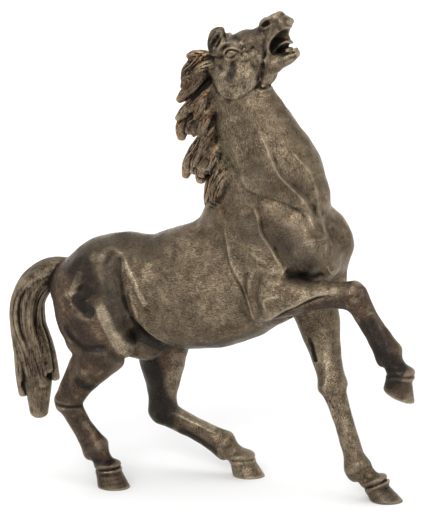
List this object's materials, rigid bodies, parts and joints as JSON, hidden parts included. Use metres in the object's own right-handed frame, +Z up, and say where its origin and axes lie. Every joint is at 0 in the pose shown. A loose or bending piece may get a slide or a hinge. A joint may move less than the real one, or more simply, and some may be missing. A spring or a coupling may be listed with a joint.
{
  "type": "horse figurine",
  "caption": "Cast metal figurine of a prancing horse with head thrown up, open mouth, flying mane, one foreleg raised, standing on its other hooves.",
  "frame": {"origin": "middle of the bounding box's bottom face, on the plane of the three standing hooves", "axes": "+Z up, +X towards the horse's chest and raised foreleg, -Y its right side, +Y its left side"},
  "size_m": [0.2227, 0.059, 0.2437],
  "materials": {
    "silvered_bronze": "worn silvered bronze, dark brown in the hollows, chased and rubbed bright on the ridges"
  },
  "bodies": {
    "root": {"horse": "silvered_bronze"}
  },
  "joints": []
}
